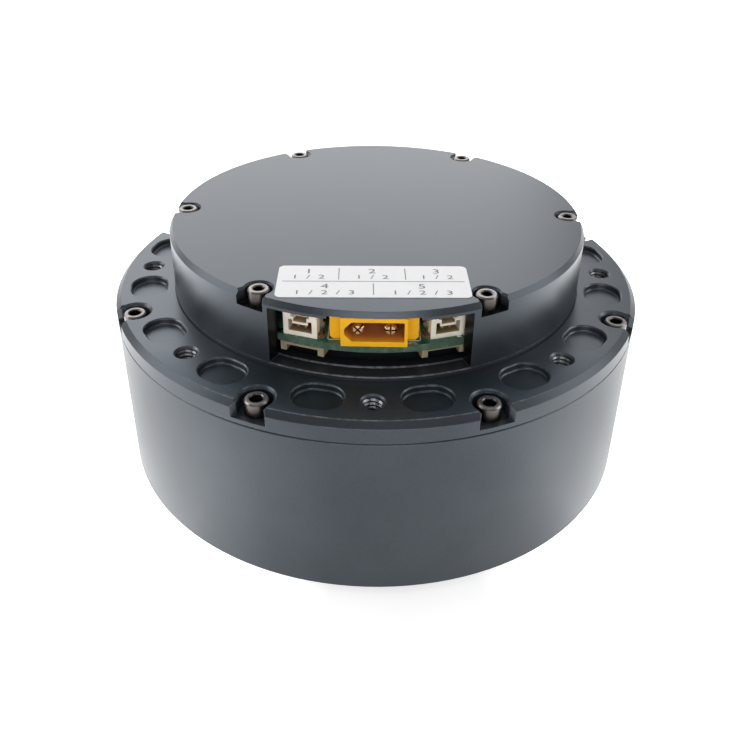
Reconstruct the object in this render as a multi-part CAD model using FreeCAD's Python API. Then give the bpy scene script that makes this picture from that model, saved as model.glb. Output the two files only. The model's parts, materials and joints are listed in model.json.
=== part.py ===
import FreeCAD, Part
import math
import os

# Robot joint actuator: a flat quasi-direct-drive unit. An inrunner torque motor sits round a
# single-stage planetary gearbox; the driver board is under the rear cover, with its plugs in a
# window of that cover. Millimetres. +Z is the rotation axis and points to the rear (cover) side;
# the origin is on the axis, on the output face, and the connector window faces -Y.
# Angles called "a" are measured about Z from -Y towards +X.

os.makedirs("parts", exist_ok=True)
V = FreeCAD.Vector

# ---------------------------------------------------------------- driving dimensions
R_BODY = 48.0            # outer radius of housing and rear flange
Z_FRONT = 1.0            # housing front face; the output face stands 1.0 proud at z = 0
Z_SEAM = 30.4            # joint line between housing and rear flange
Z_FLANGE = 34.05         # top face of the rear flange
Z_COVER = 46.0           # top face of the rear cover
EDGE = 0.5               # chamfer on the housing front edge
SEAM_EDGE = 0.18         # small chamfers that make the seam groove
FLANGE_EDGE_R, FLANGE_EDGE_Z = 1.0, 0.95

R_COVER = 37.4           # cover outer radius
R_COVER_IN = 34.8        # cover wall inner radius
COVER_EDGE_R, COVER_EDGE_Z = 0.6, 0.95
Z_CEILING = 44.6         # inside of the cover's top
WINDOW_A = (-25.7, 23.7) # connector window, angles a
Z_SILL = 34.85           # top of the foot ring left under the window
Z_FOOT = 33.75           # the cover's foot sits in a shallow recess of the flange
R_RECESS = 37.5          # outer wall of that recess
R_SPIGOT, R_SPIGOT_IN, Z_SPIGOT = 34.75, 33.0, 34.95   # ring on the flange that centres the cover

N_FLANGE_SCREWS, R_FLANGE_SCREWS = 8, 45.1
N_COVER_SCREWS, R_COVER_SCREWS, A_COVER_SCREW = 6, 34.9, 29.3
M2_HEAD_R, M2_HEAD_H, M2_R, M2_HEX = 1.9, 2.45, 1.0, 1.85
Z_FLANGE_SEAT = 31.3     # seat of the flange screw heads
Z_COVER_SEAT = 43.55     # seat of the cover screw heads, which end just under the cover's face

N_M4, R_M4, M4_R = 8, 42.5, 1.65          # rear threaded holes, M4 tap drill, 85 mm circle
N_POCKET, R_POCKET = 16, 42.1
POCKET_END_R, POCKET_LEN, POCKET_DEPTH = 3.15, 8.0, 1.2

# gear train, module 0.5
MODULE = 0.5
Z_SUN, Z_PLANET, Z_RING = 18, 36, 90
PRESSURE = math.radians(20.0)
THIN = 0.05              # each tooth is this much thinner than half a pitch: backlash
R_CENTRE = MODULE * (Z_SUN + Z_PLANET) / 2.0   # 13.5

# motor
N_SLOT, N_MAGNET = 36, 42
R_STATOR_OUT, R_STATOR_BORE = 40.0, 32.8
R_MAG_OUT, R_YOKE_OUT, R_YOKE_IN = 32.3, 30.0, 26.5
Z_CORE = (18.5, 27.0)

# output side
R_OUT_DISC = 28.9
N_OUT_M4, R_OUT_M4, OUT_M4_DEPTH = 8, 20.0, 8.0
R_PILOT, PILOT_DEPTH = 10.0, 2.5
R_DOWEL, DOWEL_DEPTH, R_DOWEL_CIRCLE = 1.5, 5.0, 16.0
R_XROLL = 28.8           # roller circle of the crossed roller bearing

# driver board
Z_BOARD = (37.45, 38.65)
R_BOARD = 34.55

PARTS = []


# ---------------------------------------------------------------- helpers
def pol(r, a):
    t = math.radians(a)
    return r * math.sin(t), -r * math.cos(t)


def cyl(r, z0, z1, x=0.0, y=0.0):
    return Part.makeCylinder(r, z1 - z0, V(x, y, z0))


def ring(ro, ri, z0, z1, x=0.0, y=0.0):
    return cyl(ro, z0, z1, x, y).cut(cyl(ri, z0 - 1, z1 + 1, x, y))


def cone(r0, r1, z0, z1, x=0.0, y=0.0):
    return Part.makeCone(r0, r1, z1 - z0, V(x, y, z0))


def box(x0, x1, y0, y1, z0, z1):
    return Part.makeBox(x1 - x0, y1 - y0, z1 - z0, V(x0, y0, z0))


def revolve(pts):
    w = Part.makePolygon([V(r, 0, z) for r, z in pts] + [V(pts[0][0], 0, pts[0][1])])
    s = Part.Face(w).revolve(V(0, 0, 0), V(0, 0, 1), 360)
    return Part.Solid(s) if s.ShapeType != "Solid" else s


def place(shape, x=0.0, y=0.0, z=0.0, turn=0.0):
    s = shape.copy()
    s.rotate(V(0, 0, 0), V(0, 0, 1), turn)
    s.translate(V(x, y, z))
    return s


def around(shape, count, start=0.0):
    out = []
    for k in range(count):
        s = shape.copy()
        s.rotate(V(0, 0, 0), V(0, 0, 1), start + 360.0 * k / count)
        out.append(s)
    return out


def prism(edges, z0, z1):
    f = Part.Face(Part.Wire(edges))
    f.translate(V(0, 0, z0))
    return f.extrude(V(0, 0, z1 - z0))


def loft(w0, w1):
    s = Part.makeLoft([w0, w1], True, True)
    if s.Volume < 0:
        s.reverse()
    return s


def cut_all(base, tools):
    tools = [t for t in tools]
    return base.cut(tools[0].multiFuse(tools[1:]) if len(tools) > 1 else tools[0])


def save(name, shapes):
    if not isinstance(shapes, (list, tuple)):
        shapes = [shapes]
    solids = []
    for s in shapes:
        solids.extend(s.Solids)
    out = solids[0] if len(solids) == 1 else Part.makeCompound(solids)
    out.exportStep("parts/%s.step" % name)
    bb = out.BoundBox
    bad = [i for i, s in enumerate(solids) if not s.isValid()]
    print("%-24s solids %3d  vol %10.3f  z %.2f..%.2f%s" % (
        name, len(solids), sum(s.Volume for s in solids), bb.ZMin, bb.ZMax,
        "  INVALID" if bad else ""))
    PARTS.append(name)


def line(p, q):
    return Part.LineSegment(V(p[0], p[1], 0), V(q[0], q[1], 0)).toShape()


def arc(p, m, q):
    return Part.Arc(V(p[0], p[1], 0), V(m[0], m[1], 0), V(q[0], q[1], 0)).toShape()


def hexagon(af, z0, z1, x=0.0, y=0.0, turn=0.0):
    rr = af / math.sqrt(3.0)
    pts = [V(x + rr * math.cos(math.radians(60 * k + turn)), y + rr * math.sin(math.radians(60 * k + turn)), z0)
           for k in range(7)]
    return Part.Face(Part.makePolygon(pts)).extrude(V(0, 0, z1 - z0))


def cap_screw(x, y, seat, tip, head_r=M2_HEAD_R, head_h=M2_HEAD_H, shank_r=M2_R, af=M2_HEX, turn=0.0):
    head = cyl(head_r, seat, seat + head_h - 0.25, x, y).fuse(
        cone(head_r, head_r - 0.25, seat + head_h - 0.25, seat + head_h, x, y))
    s = head.fuse(cyl(shank_r, tip, seat, x, y)).removeSplitter()
    s = s.cut(hexagon(af, seat + head_h - 1.1, seat + head_h + 1, x, y, turn))
    return s.cut(cone(af / 2 - 0.05, af / 2 + 0.27, seat + head_h - 0.30, seat + head_h + 0.02, x, y))


def flat_screw(x, y, face, tip, head_r, shank_r, up=True, af=1.5):
    """Countersunk screw whose head lies flush with z = face; up means that the head faces +Z."""
    d = head_r - shank_r
    if up:
        s = cone(shank_r, head_r, face - d, face, x, y).fuse(cyl(shank_r, tip, face - d, x, y)).removeSplitter()
        return s.cut(hexagon(af, face - 0.9, face + 1, x, y))
    s = cone(head_r, shank_r, face, face + d, x, y).fuse(cyl(shank_r, face + d, tip, x, y)).removeSplitter()
    return s.cut(hexagon(af, face - 1, face + 0.9, x, y))


def flat_hole(x, y, face, tip, head_r, shank_r, up=True):
    d = head_r - shank_r
    if up:
        return cone(shank_r, head_r + 0.1, face - d, face + 0.1, x, y).fuse(cyl(shank_r, tip, face, x, y))
    return cone(head_r + 0.1, shank_r, face - 0.1, face + d, x, y).fuse(cyl(shank_r, face, tip, x, y))


# ---------------------------------------------------------------- gears
def involute_point(rb, r, a0):
    """Point at radius r on the involute from base radius rb, turned so that its polar angle is a0 at the base."""
    t = math.sqrt(max((r / rb) ** 2 - 1.0, 0.0))
    a = a0 + t - math.atan(t)
    return r * math.cos(a), r * math.sin(a)


def gear_edges(z, m, thin, add, ded, phase):
    """Closed outline of an external gear; a tooth is centred on the angle phase."""
    rp, rb = m * z / 2.0, m * z / 2.0 * math.cos(PRESSURE)
    ra, rf = rp + add, rp - ded
    half = (math.pi * m / 2.0 - thin) / (2.0 * rp)
    inv = math.tan(PRESSURE) - PRESSURE
    base = half + inv                     # half angle of the tooth at the base circle
    r0 = max(rb, rf)
    edges = []
    for k in range(z):
        c = phase + 2.0 * math.pi * k / z
        n = phase + 2.0 * math.pi * (k + 1) / z

        def left(r, cc):                  # flank on the clockwise side
            x, y = involute_point(rb, r, 0.0)
            a = math.atan2(y, x)
            return r * math.cos(cc - base + a), r * math.sin(cc - base + a)

        def right(r, cc):
            x, y = involute_point(rb, r, 0.0)
            a = math.atan2(y, x)
            return r * math.cos(cc + base - a), r * math.sin(cc + base - a)

        rm = math.sqrt((r0 ** 2 + ra ** 2) / 2.0)
        lf = (rf * math.cos(c - base), rf * math.sin(c - base))
        rt = (rf * math.cos(c + base), rf * math.sin(c + base))
        nl = (rf * math.cos(n - base), rf * math.sin(n - base))
        if rf < rb - 1e-6:
            edges.append(line(lf, left(r0, c)))
        edges.append(arc(left(r0, c), left(rm, c), left(ra, c)))
        edges.append(arc(left(ra, c), (ra * math.cos(c), ra * math.sin(c)), right(ra, c)))
        edges.append(arc(right(ra, c), right(rm, c), right(r0, c)))
        if rf < rb - 1e-6:
            edges.append(line(right(r0, c), rt))
            start = rt
        else:
            start = right(r0, c)
            nl = left(r0, n)
        mid = (c + n) / 2.0
        edges.append(arc(start, (rf * math.cos(mid), rf * math.sin(mid)), nl))
    return edges


# ---------------------------------------------------------------- housing
def make_housing():
    body = revolve([
        (38.0, Z_FRONT), (R_BODY - EDGE, Z_FRONT), (R_BODY, Z_FRONT + EDGE), (R_BODY, Z_SEAM - SEAM_EDGE),
        (R_BODY - SEAM_EDGE, Z_SEAM), (R_STATOR_OUT, Z_SEAM), (R_STATOR_OUT, Z_CORE[0]), (38.3, Z_CORE[0]),
        (38.3, 13.0), (30.0, 13.0), (30.0, 11.0), (33.0, 11.0), (33.0, 3.0), (38.0, 3.0)])
    tools = []
    for k in range(N_FLANGE_SCREWS):
        x, y = pol(R_FLANGE_SCREWS, 22.5 + 45 * k)
        tools.append(cyl(M2_R, 22.5, Z_SEAM + 1, x, y))
    for k in range(N_M4):
        x, y = pol(R_M4, 45 * k)
        tools.append(cyl(2.2, 27.4, Z_SEAM + 1, x, y))          # room for the tip of a rear screw
    for k in range(6):
        x, y = pol(35.2, 60 * k)
        tools.append(cyl(1.25, 8.4, 14, x, y))                   # ring gear screws
    for k in range(8):
        x, y = pol(35.5, 22.5 + 45 * k)
        tools.append(cyl(1.25, 2, 6.6, x, y))                    # retainer screws
    save("housing", cut_all(body, tools))


def notch_wire(d, z, rc, circle_r, half, flare_u, flare_v, u2, angle):
    """Outline of a screw notch open to the rim; d widens it for the chamfer at its top edge."""
    r, h = circle_r + d, half + d
    xc = math.sqrt(r * r - h * h)
    p1, p2 = (flare_u, flare_v + 1.3 * d), (u2, h)
    pts = [p1, p2, (xc, h), (-r, 0.0), (xc, -h), (u2, -h), (flare_u, -flare_v - 1.3 * d)]
    e = [line(pts[0], pts[1]), line(pts[1], pts[2]), arc(pts[2], pts[3], pts[4]), line(pts[4], pts[5]),
         line(pts[5], pts[6]), line(pts[6], pts[0])]
    w = Part.Wire(e)
    w.translate(V(rc, 0, z))
    w.rotate(V(0, 0, 0), V(0, 0, 1), angle - 90.0)
    return w


def notch(rc, circle_r, half, flare_u, flare_v, u2, seat, top, edge, angle):
    a = dict(rc=rc, circle_r=circle_r, half=half, flare_u=flare_u, flare_v=flare_v, u2=u2, angle=angle)
    deep = Part.Face(notch_wire(0.0, seat, **a)).extrude(V(0, 0, top - seat + 1))
    rim = loft(notch_wire(0.0, top - edge, **a), notch_wire(edge * 1.2, top + edge * 0.2, **a))
    return deep.fuse(rim)


def stadium(end_r, length, z, rc, angle):
    h = length / 2.0 - (POCKET_END_R)
    e = [line((end_r, -h), (end_r, h)), arc((end_r, h), (0, h + end_r), (-end_r, h)),
         line((-end_r, h), (-end_r, -h)), arc((-end_r, -h), (0, -h - end_r), (end_r, -h))]
    w = Part.Wire(e)
    w.translate(V(rc, 0, z))
    w.rotate(V(0, 0, 0), V(0, 0, 1), angle - 90.0)
    return w


def make_rear_flange():
    body = revolve([
        (8.5, Z_FLANGE), (R_SPIGOT_IN, Z_FLANGE), (R_SPIGOT_IN, Z_SPIGOT), (R_SPIGOT - 0.22, Z_SPIGOT),
        (R_SPIGOT, Z_SPIGOT - 0.22), (R_SPIGOT, Z_FOOT), (R_RECESS, Z_FOOT), (R_RECESS, Z_FLANGE), (R_BODY - FLANGE_EDGE_R, Z_FLANGE), (R_BODY, Z_FLANGE - FLANGE_EDGE_Z),
        (R_BODY, Z_SEAM + SEAM_EDGE), (R_BODY - SEAM_EDGE, Z_SEAM), (39.95, Z_SEAM), (39.95, 28.4), (38.2, 28.4),
        (38.2, Z_SEAM), (12.0, Z_SEAM), (12.0, 29.2), (9.0, 29.2), (9.0, 33.2), (8.5, 33.2)])
    tools = []
    for k in range(N_FLANGE_SCREWS):
        a = 22.5 + 45 * k
        x, y = pol(R_FLANGE_SCREWS, a)
        tools.append(notch(R_FLANGE_SCREWS, 2.6, 2.35, 3.6, 3.6, 2.0, Z_FLANGE_SEAT, Z_FLANGE, 0.45, a))
        tools.append(cyl(M2_R, Z_SEAM - 1, Z_FLANGE, x, y))
    for k in range(N_M4):
        x, y = pol(R_M4, 45 * k)
        tools.append(cyl(M4_R, Z_SEAM - 1, Z_FLANGE + 1, x, y))
        tools.append(cone(M4_R, M4_R + 0.45, Z_FLANGE - 0.35, Z_FLANGE + 0.1, x, y))
    for k in range(N_POCKET):
        a = 11.25 + 22.5 * k
        z0 = Z_FLANGE - POCKET_DEPTH
        tools.append(Part.Face(stadium(POCKET_END_R, POCKET_LEN, z0 + 0.2, R_POCKET, a)).extrude(V(0, 0, POCKET_DEPTH + 1)))
        tools.append(loft(stadium(POCKET_END_R - 0.2, POCKET_LEN, z0, R_POCKET, a), stadium(POCKET_END_R, POCKET_LEN, z0 + 0.2, R_POCKET, a)))
        tools.append(loft(stadium(POCKET_END_R, POCKET_LEN, Z_FLANGE - 0.22, R_POCKET, a),
                          stadium(POCKET_END_R + 0.26, POCKET_LEN, Z_FLANGE + 0.04, R_POCKET, a)))
    for k in range(N_COVER_SCREWS):
        x, y = pol(R_COVER_SCREWS, A_COVER_SCREW + 60 * k)
        tools.append(cyl(M2_R, 31.4, Z_FLANGE + 1, x, y))
        tools.append(cyl(2.75, Z_FLANGE, Z_FLANGE + 2, x, y))    # the spigot is notched round the cover's posts
    for k in range(4):
        x, y = pol(28.5, 45 + 90 * k)
        tools.append(cyl(1.0, 31.4, Z_FLANGE + 1, x, y))
    slot = box(-4.2, 4.2, 30.3, 33.9, Z_SEAM - 1, Z_FLANGE + 1)
    slot = slot.fuse(cyl(1.8, Z_SEAM - 1, Z_FLANGE + 1, -4.2, 32.1)).fuse(cyl(1.8, Z_SEAM - 1, Z_FLANGE + 1, 4.2, 32.1))
    tools.append(slot)
    save("rear_flange", cut_all(body, tools))
    save("flange_screws", [cap_screw(*pol(R_FLANGE_SCREWS, 22.5 + 45 * k), seat=Z_FLANGE_SEAT, tip=22.6,
                                     turn=17.0 * k) for k in range(N_FLANGE_SCREWS)])
    grommet = box(-4.2, 4.2, 30.3, 33.9, Z_SEAM, Z_FLANGE)
    grommet = grommet.fuse(cyl(1.8, Z_SEAM, Z_FLANGE, -4.2, 32.1)).fuse(cyl(1.8, Z_SEAM, Z_FLANGE, 4.2, 32.1)).removeSplitter()
    leads = [cyl(0.9, 29.7, Z_BOARD[0], x, 32.1) for x in (-3.8, 0.0, 3.8)]
    save("lead_grommet", grommet.cut(leads[0].fuse(leads[1]).fuse(leads[2])))
    save("phase_leads", leads)


# ---------------------------------------------------------------- rear cover
def make_cover():
    outer = revolve([(0, Z_FOOT), (R_COVER, Z_FOOT), (R_COVER, Z_COVER - COVER_EDGE_Z),
                     (R_COVER - COVER_EDGE_R, Z_COVER), (0, Z_COVER)])
    shell = outer.cut(cyl(R_COVER_IN, Z_FOOT - 1, Z_CEILING))
    for k in range(N_COVER_SCREWS):
        x, y = pol(R_COVER_SCREWS, A_COVER_SCREW + 60 * k)
        post = cyl(2.6, Z_FLANGE, Z_CEILING + 0.2, x, y).fuse(cyl(3.6, 42.75, Z_CEILING + 0.2, x, y))
        shell = shell.fuse(post.common(cyl(R_COVER - 0.2, Z_FLANGE, Z_COVER)))
    # connector window: wall removed between the sill and the lip
    a0, a1 = WINDOW_A
    big = 60.0
    p0, p1 = pol(big, a0), pol(big, a1)
    q0, q1 = pol(31.0, a0), pol(31.0, a1)
    wedge = Part.Face(Part.makePolygon([V(q0[0], q0[1], Z_SILL), V(p0[0], p0[1], Z_SILL), V(0, -big * 1.2, Z_SILL),
                                        V(p1[0], p1[1], Z_SILL), V(q1[0], q1[1], Z_SILL), V(q0[0], q0[1], Z_SILL)])
                      ).extrude(V(0, 0, Z_CEILING - Z_SILL))
    tools = [wedge]
    tools.append(box(-7.1, 7.1, -40, -33.0, Z_CEILING - 1, 45.1))        # relief over the power connector
    # light edge breaks of the sill, both rims
    tools.append(revolve([(R_COVER + 1, Z_SILL - 0.16), (R_COVER - 0.0, Z_SILL - 0.16), (R_COVER - 0.16, Z_SILL),
                          (R_COVER - 0.16, Z_SILL + 0.01), (R_COVER + 1, Z_SILL + 0.01)]).common(wedge_zone(a0, a1, Z_SILL - 1, Z_SILL + 1)))
    tools.append(revolve([(R_COVER_IN - 0.5, Z_SILL - 0.16), (R_COVER_IN, Z_SILL - 0.16), (R_COVER_IN + 0.16, Z_SILL),
                          (R_COVER_IN + 0.16, Z_SILL + 0.01), (R_COVER_IN - 0.5, Z_SILL + 0.01)]).common(wedge_zone(a0, a1, Z_SILL - 1, Z_SILL + 1)))
    for k in range(N_COVER_SCREWS):
        a = A_COVER_SCREW + 60 * k
        x, y = pol(R_COVER_SCREWS, a)
        tools.append(notch(R_COVER_SCREWS, 2.15, 2.0, 3.2, 2.8, 1.0, Z_COVER_SEAT, Z_COVER, 0.3, a))
        tools.append(cyl(M2_R + 0.1, Z_FLANGE - 1, Z_COVER, x, y))
    save("rear_cover", cut_all(shell, tools))
    save("cover_screws", [cap_screw(*pol(R_COVER_SCREWS, A_COVER_SCREW + 60 * k), seat=Z_COVER_SEAT, tip=31.5, head_r=1.72, head_h=2.4,
                                    af=1.5, turn=23.0 * k + 8) for k in range(N_COVER_SCREWS)])
    # port label: a thin sticker with rounded corners
    w, h, r, t = 29.4, 10.4, 1.0, 0.1
    e = [line((-w / 2 + r, -h / 2), (w / 2 - r, -h / 2)), arc((w / 2 - r, -h / 2), (w / 2 - r * 0.2929, -h / 2 + r * 0.2929), (w / 2, -h / 2 + r)),
         line((w / 2, -h / 2 + r), (w / 2, h / 2 - r)), arc((w / 2, h / 2 - r), (w / 2 - r * 0.2929, h / 2 - r * 0.2929), (w / 2 - r, h / 2)),
         line((w / 2 - r, h / 2), (-w / 2 + r, h / 2)), arc((-w / 2 + r, h / 2), (-w / 2 + r * 0.2929, h / 2 - r * 0.2929), (-w / 2, h / 2 - r)),
         line((-w / 2, h / 2 - r), (-w / 2, -h / 2 + r)), arc((-w / 2, -h / 2 + r), (-w / 2 + r * 0.2929, -h / 2 + r * 0.2929), (-w / 2 + r, -h / 2))]
    label = Part.Face(Part.Wire(e)).extrude(V(0, 0, t))
    save("port_label", place(label, -0.2, -27.4, Z_COVER, 1.6))


def wedge_zone(a0, a1, z0, z1):
    big = 60.0
    p0, p1, q0, q1 = pol(big, a0), pol(big, a1), pol(31.0, a0), pol(31.0, a1)
    return Part.Face(Part.makePolygon([V(q0[0], q0[1], z0), V(p0[0], p0[1], z0), V(0, -big * 1.2, z0),
                                       V(p1[0], p1[1], z0), V(q1[0], q1[1], z0), V(q0[0], q0[1], z0)])).extrude(V(0, 0, z1 - z0))


# ---------------------------------------------------------------- motor
def make_stator():
    z0, z1 = Z_CORE
    half = math.pi / N_SLOT
    tooth_w, tip_gap, shoe = 2.6, 1.2, 0.8
    core = ring(R_STATOR_OUT, 37.0, z0, z1)
    teeth = []
    body = box(33.2, 37.4, -tooth_w / 2, tooth_w / 2, z0, z1)
    ha = half - tip_gap / 2.0 / R_STATOR_BORE
    ro, ri = R_STATOR_BORE + shoe, R_STATOR_BORE
    hb = ha * 0.92
    shoe_s = prism([arc((ri * math.cos(-ha), ri * math.sin(-ha)), (ri, 0), (ri * math.cos(ha), ri * math.sin(ha))),
                    line((ri * math.cos(ha), ri * math.sin(ha)), (ro * math.cos(hb * 0.9), ro * math.sin(hb * 0.9))),
                    line((ro * math.cos(hb * 0.9), ro * math.sin(hb * 0.9)), (ro * math.cos(-hb * 0.9), ro * math.sin(-hb * 0.9))),
                    line((ro * math.cos(-hb * 0.9), ro * math.sin(-hb * 0.9)), (ri * math.cos(-ha), ri * math.sin(-ha)))], z0, z1)
    one = body.fuse(shoe_s)
    teeth = around(one, N_SLOT)
    core = core.multiFuse(teeth).removeSplitter()
    save("stator_core", core)
    # one wound coil per tooth
    coil = box(33.9, 36.85, -2.85, 2.85, z0 - 2.6, z1 + 2.6).cut(box(33, 38, -tooth_w / 2 - 0.02, tooth_w / 2 + 0.02, z0 - 0.02, z1 + 0.02))
    up = [e for e in coil.Edges if abs(e.BoundBox.YMin - e.BoundBox.YMax) < 1e-6 and abs(abs(e.BoundBox.YMin) - 2.85) < 1e-6
          and e.BoundBox.ZMax - e.BoundBox.ZMin < 1e-6]
    try:
        coil = coil.makeFillet(1.2, up)
    except Exception:
        pass
    save("stator_windings", around(coil, N_SLOT))


def make_rotor():
    yoke = revolve([(8.0, 25.4), (R_YOKE_IN, 25.4), (R_YOKE_IN, 15.6), (R_YOKE_OUT, 15.6), (R_YOKE_OUT, 27.6), (8.0, 27.6)])
    tools = [cyl(3.4, 25, 28, *pol(18.0, 30 + 60 * k)) for k in range(6)]
    tools += [cyl(1.0, 25, 28, *pol(9.8, 60 * k)) for k in range(6)]
    save("rotor_yoke", cut_all(yoke, tools))
    h = math.radians(360.0 / N_MAGNET / 2.0 - 0.22)
    a, b = R_YOKE_OUT, R_MAG_OUT
    mag = prism([arc((a * math.cos(-h), a * math.sin(-h)), (a, 0), (a * math.cos(h), a * math.sin(h))),
                 line((a * math.cos(h), a * math.sin(h)), (b * math.cos(h), b * math.sin(h))),
                 arc((b * math.cos(h), b * math.sin(h)), (b, 0), (b * math.cos(-h), b * math.sin(-h))),
                 line((b * math.cos(-h), b * math.sin(-h)), (a * math.cos(-h), a * math.sin(-h)))], 18.0, 27.5)
    save("rotor_magnets", around(mag, N_MAGNET))
    shaft = revolve([(0, 9.4), (2.3, 9.4), (2.5, 9.6), (2.5, 25.4), (8.0, 25.4), (8.0, 27.6), (12.0, 27.6), (12.0, 28.7),
                     (6.6, 28.7), (6.6, 29.2), (6.0, 29.2), (6.0, 33.2), (4.5, 33.2), (4.5, 35.2), (3.0, 35.2), (3.0, 33.9), (0, 33.9)])
    shaft = cut_all(shaft, [flat_hole(*pol(9.8, 60 * k), face=28.7, tip=27.0, head_r=1.6, shank_r=1.0) for k in range(6)])
    save("rotor_shaft", shaft)
    save("rotor_screws", [flat_screw(*pol(9.8, 60 * k), face=28.7, tip=25.5, head_r=1.6, shank_r=1.0, af=1.2) for k in range(6)])
    save("encoder_magnet", cyl(3.0, 33.9, 35.9))


def make_gears():
    add, ded = MODULE, 1.25 * MODULE
    sun = prism(gear_edges(Z_SUN, MODULE, THIN, add, ded, 0.0), 13.9, 22.6)
    sun = sun.fuse(cyl(5.0, 22.6, 25.4)).cut(cyl(2.5, 13, 26))
    save("sun_gear", sun)
    planet = prism(gear_edges(Z_PLANET, MODULE, THIN, add, ded, math.pi / Z_PLANET), 13.7, 22.2).cut(cyl(4.5, 13, 23))
    planet = planet.cut(revolve([(6.0, 21.6), (7.4, 21.6), (7.4, 23), (6.0, 23)]))
    bush = ring(4.5, 3.04, 13.4, 22.5)
    for k in range(3):
        t = 120.0 * k
        for nm, s in (("planet_gear_%d" % (k + 1), planet), ("planet_bush_%d" % (k + 1), bush)):
            c = s.copy()
            c.translate(V(R_CENTRE, 0, 0))
            c.rotate(V(0, 0, 0), V(0, 0, 1), t)
            save(nm, c)
    # internal gear: the space outline is an external gear with its gap on the angle 0
    inner = prism(gear_edges(Z_RING, MODULE, -THIN, ded, add, math.pi / Z_RING), 12.0, 23.5)
    blank = cyl(25.5, 13.0, 22.5).fuse(cyl(38.2, 13.0, 15.0)).removeSplitter()
    blank = cut_all(blank, [flat_hole(*pol(35.2, 60 * k), face=15.0, tip=12.0, head_r=2.35, shank_r=1.25) for k in range(6)])
    save("ring_gear", blank.cut(inner))
    save("ring_gear_screws", [flat_screw(*pol(35.2, 60 * k), face=15.0, tip=8.5, head_r=2.35, shank_r=1.25) for k in range(6)])


# ---------------------------------------------------------------- output side
def make_output():
    body = revolve([
        (0, PILOT_DEPTH), (R_PILOT, PILOT_DEPTH), (R_PILOT, 0), (R_OUT_DISC - 0.4, 0), (R_OUT_DISC, 0.4), (R_OUT_DISC, 3.0),
        (25.0, 3.0), (25.0, 11.0), (23.5, 11.0), (23.5, 12.7), (21.5, 12.7), (21.5, 13.3), (5.0, 13.3), (5.0, 9.1),
        (3.6, 9.1), (3.6, 8.6), (0, 8.6)])
    for k in range(3):
        a = 60 + 120 * k
        x, y = 17.8 * math.cos(math.radians(a)), 17.8 * math.sin(math.radians(a))
        body = body.fuse(cyl(3.0, 13.0, 22.6, x, y))
    tools = []
    for k in range(N_OUT_M4):
        x, y = pol(R_OUT_M4, 45 * k)
        tools.append(cyl(M4_R, -1, OUT_M4_DEPTH, x, y))
        tools.append(cone(M4_R + 0.45, M4_R, -0.1, 0.35, x, y))
    for a in (22.5, 202.5):
        x, y = pol(R_DOWEL_CIRCLE, a)
        tools.append(cyl(R_DOWEL, -1, DOWEL_DEPTH, x, y))
    for k in range(3):
        a = 120 * k
        tools.append(cyl(3.0, 6.0, 14, R_CENTRE * math.cos(math.radians(a)), R_CENTRE * math.sin(math.radians(a))))
        a = 60 + 120 * k
        tools.append(cyl(1.25, 10.0, 23, 17.8 * math.cos(math.radians(a)), 17.8 * math.sin(math.radians(a))))
    save("output_flange", cut_all(body, tools))
    plate = ring(21.4, 6.5, 22.6, 25.0)
    tools, screws, pins = [], [], []
    for k in range(3):
        a = 120 * k
        x, y = R_CENTRE * math.cos(math.radians(a)), R_CENTRE * math.sin(math.radians(a))
        tools.append(cyl(3.0, 22, 26, x, y))
        pins.append(cyl(3.0, 6.0, 24.9, x, y))
        a = 60 + 120 * k
        x, y = 17.8 * math.cos(math.radians(a)), 17.8 * math.sin(math.radians(a))
        tools.append(flat_hole(x, y, face=25.0, tip=22.0, head_r=2.35, shank_r=1.25))
        screws.append(flat_screw(x, y, face=25.0, tip=10.0, head_r=2.35, shank_r=1.25))
    save("carrier_plate", cut_all(plate, tools))
    save("planet_pins", pins)
    save("carrier_screws", screws)
    save("bearing_clamp_ring", ring(27.4, 23.5, 11.0, 12.7))
    # crossed roller bearing 50 x 66 x 8: V grooves at 45 degrees about the roller circle
    g = 1.53 * math.sqrt(2.0)
    zc = 7.0
    ri, ro = R_XROLL - 0.2, R_XROLL + 0.2
    hi = g - 0.2
    save("output_bearing_inner", revolve([(25.0, 3.0), (ri, 3.0), (ri, zc - hi), (R_XROLL - g, zc), (ri, zc + hi), (ri, 11.0), (25.0, 11.0)]))
    save("output_bearing_outer", revolve([(33.0, 3.0), (ro, 3.0), (ro, zc - hi), (R_XROLL + g, zc), (ro, zc + hi), (ro, 11.0), (33.0, 11.0)]))
    rollers = []
    n = 40
    for k in range(n):
        tilt = 45.0 if k % 2 == 0 else -45.0
        c = Part.makeCylinder(1.5, 2.8, V(0, 0, -1.4))
        c.rotate(V(0, 0, 0), V(0, 1, 0), tilt)
        c.translate(V(R_XROLL, 0, zc))
        c.rotate(V(0, 0, 0), V(0, 0, 1), 360.0 * k / n)
        rollers.append(c)
    save("output_bearing_rollers", rollers)
    keep = revolve([(29.3, Z_FRONT), (37.9, Z_FRONT), (37.9, 3.0), (29.3, 3.0), (29.3, 2.6), (30.3, 2.6), (30.3, 1.6), (29.3, 1.6)])
    keep = cut_all(keep, [flat_hole(*pol(35.5, 22.5 + 45 * k), face=Z_FRONT, tip=4.0, head_r=2.25, shank_r=1.25, up=False) for k in range(8)])
    save("bearing_retainer", keep)
    save("retainer_screws", [flat_screw(*pol(35.5, 22.5 + 45 * k), face=Z_FRONT, tip=6.5, head_r=2.25, shank_r=1.25, up=False) for k in range(8)])
    save("output_seal", ring(30.3, 28.97, 1.6, 2.6))


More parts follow.
